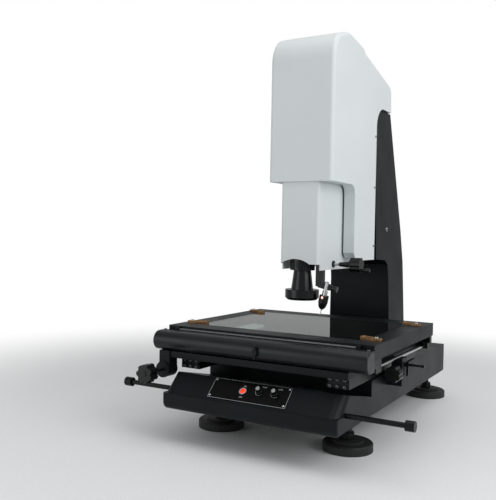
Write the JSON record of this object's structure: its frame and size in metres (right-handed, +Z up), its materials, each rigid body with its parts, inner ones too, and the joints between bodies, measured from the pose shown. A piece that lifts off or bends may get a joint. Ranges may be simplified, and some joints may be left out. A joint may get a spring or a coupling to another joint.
{
  "type": "coordinate measuring machine",
  "caption": "Bench-top coordinate measuring machine: glass-topped XY table on a black cast base, column, white head with zoom lens and touch probe, handwheels and levelling feet.",
  "frame": {"origin": "on the floor, midway between the four feet", "axes": "+Z up, +X to the machine's right, -Y to its front"},
  "size_m": [0.834, 1.055, 1.143],
  "materials": {
    "cast_black": "satin black paint",
    "foot_rubber": "matt moulded",
    "black_steel": "black oxide, ground",
    "bright_steel": "polished",
    "panel_black": "black anodised plate",
    "anodised_black": "satin black anodised",
    "shell_white": "fine textured white powder coat",
    "table_glass": "polished plate",
    "optical_glass": "coated lens",
    "clip_brass": "copper-toned, worn",
    "knob_plastic": "moulded black",
    "lit_red": "lit lens",
    "diffuser_white": "opal diffuser"
  },
  "bodies": {
    "base": {"base_casting": "cast_black", "foot_pads": "foot_rubber", "foot_studs": "bright_steel", "foot_nuts": "bright_steel", "carrying_bars": "black_steel", "control_panel": "panel_black", "panel_screws": "bright_steel", "button_bezel": "bright_steel", "knob_bushes": "bright_steel", "contour_lamp": "anodised_black", "contour_lens": "optical_glass", "y_fixed_ways": "black_steel", "column": "cast_black", "head_frame": "cast_black", "head_bolts": "black_steel", "z_ways": "bright_steel", "head_shell": "shell_white", "shell_screws": "bright_steel", "y_drive_unit": "cast_black"},
    "carriage": {"y_carriage": "cast_black", "y_slide_bars": "black_steel", "carriage_screws": "black_steel", "x_fixed_ways": "black_steel", "front_cover": "anodised_black", "y_drive_rod": "bright_steel", "y_rod_brackets": "black_steel", "x_drive_unit": "cast_black"},
    "table": {"table_frame": "cast_black", "x_slide_bars": "black_steel", "glass_plate": "table_glass", "glass_clips": "clip_brass", "clip_screws": "bright_steel", "x_guide_rod": "bright_steel", "x_rod_brackets": "black_steel"},
    "head": {"z_slide_plate": "black_steel", "z_runners": "black_steel", "inner_cover": "shell_white", "camera": "anodised_black", "lens_bracket": "anodised_black", "zoom_lens": "anodised_black", "front_element": "optical_glass", "ring_light": "anodised_black", "ring_diffuser": "diffuser_white", "probe_arm": "anodised_black", "z_drive_unit": "cast_black"},
    "zoom": {"zoom_ring": "anodised_black"},
    "z_wheel": {"z_handwheel": "knob_plastic"},
    "grip": {"crank_grip": "knob_plastic"},
    "x_wheel": {"x_handwheel": "knob_plastic"},
    "y_wheel": {"y_handwheel": "knob_plastic"},
    "release_lever": {"y_release_lever": "black_steel"},
    "lock_lever": {"x_lock_lever": "knob_plastic"},
    "probe": {"probe_shank": "bright_steel", "probe_body": "knob_plastic", "probe_lamp": "lit_red"},
    "stylus_stem": {"stylus": "bright_steel"},
    "clamp_screw": {"probe_lock_knob": "knob_plastic"},
    "button": {"power_button": "lit_red"},
    "light_one": {"light_knob_one": "knob_plastic"},
    "light_two": {"light_knob_two": "knob_plastic"}
  },
  "joints": [
    {"name": "y_travel", "type": "slide", "parent": "base", "child": "carriage", "axis": [0, 1, 0], "range_m": [-0.19, 0.11]},
    {"name": "x_travel", "type": "slide", "parent": "carriage", "child": "table", "axis": [1, 0, 0], "range_m": [-0.2, 0.2]},
    {"name": "z_travel", "type": "slide", "parent": "base", "child": "head", "axis": [0, 0, 1], "range_m": [-0.015, 0.18]},
    {"name": "zoom_turn", "type": "hinge", "parent": "head", "child": "zoom", "pos_m": [-0.009, -0.233, 0.472], "axis": [0, 0, 1], "range_deg": [-80, 80]},
    {"name": "z_wheel_turn", "type": "hinge", "parent": "head", "child": "z_wheel", "pos_m": [0.1, -0.17, 0.473], "axis": [1, 0, 0], "range_deg": [-145, 1721]},
    {"name": "grip_spin", "type": "hinge", "parent": "z_wheel", "child": "grip", "pos_m": [0.148, -0.17, 0.458], "axis": [1, 0, 0], "continuous": true},
    {"name": "x_wheel_turn", "type": "hinge", "parent": "carriage", "child": "x_wheel", "pos_m": [-0.278, -0.56, 0.183], "axis": [0, 1, 0], "range_deg": [-1912, 1912]},
    {"name": "y_wheel_turn", "type": "hinge", "parent": "base", "child": "y_wheel", "pos_m": [0.28, -0.24, 0.189], "axis": [0, 1, 0], "range_deg": [-1816, 1052]},
    {"name": "release_lever_turn", "type": "hinge", "parent": "base", "child": "release_lever", "pos_m": [0.29, -0.189, 0.205], "axis": [1, 0, 0], "range_deg": [-45, 45]},
    {"name": "lock_lever_turn", "type": "hinge", "parent": "carriage", "child": "lock_lever", "pos_m": [0.015, -0.546, 0.261], "axis": [0, 1, 0], "range_deg": [-60, 60]},
    {"name": "probe_swivel", "type": "hinge", "parent": "head", "child": "probe", "pos_m": [0.066, -0.233, 0.404], "axis": [0.2079, 0, 0.9781], "range_deg": [-90, 90]},
    {"name": "stylus_tilt", "type": "hinge", "parent": "probe", "child": "stylus_stem", "pos_m": [0.05477, -0.233, 0.35118], "axis": [0, 1, 0], "range_deg": [-4, 4], "stiffness_Nm_per_rad": 0.05},
    {"name": "clamp_screw_turn", "type": "hinge", "parent": "head", "child": "clamp_screw", "pos_m": [0.07703, -0.23, 0.40779], "axis": [0.9781, 0, -0.2079], "range_deg": [0, 360]},
    {"name": "button_press", "type": "slide", "parent": "base", "child": "button", "axis": [0, 0.682, -0.7314], "range_m": [0, 0.0025], "stiffness_N_per_m": 400},
    {"name": "light_one_turn", "type": "hinge", "parent": "base", "child": "light_one", "pos_m": [0.027, -0.54318, 0.16247], "axis": [0, -0.682, 0.7314], "range_deg": [-140, 140]},
    {"name": "light_two_turn", "type": "hinge", "parent": "base", "child": "light_two", "pos_m": [0.071, -0.54318, 0.16247], "axis": [0, -0.682, 0.7314], "range_deg": [-140, 140]}
  ],
  "couplings": [
    {"joint": "z_wheel_turn", "follows": "z_travel", "rad_per_m": 166.67},
    {"joint": "x_wheel_turn", "follows": "x_travel", "rad_per_m": 166.67},
    {"joint": "y_wheel_turn", "follows": "y_travel", "rad_per_m": 166.67}
  ]
}
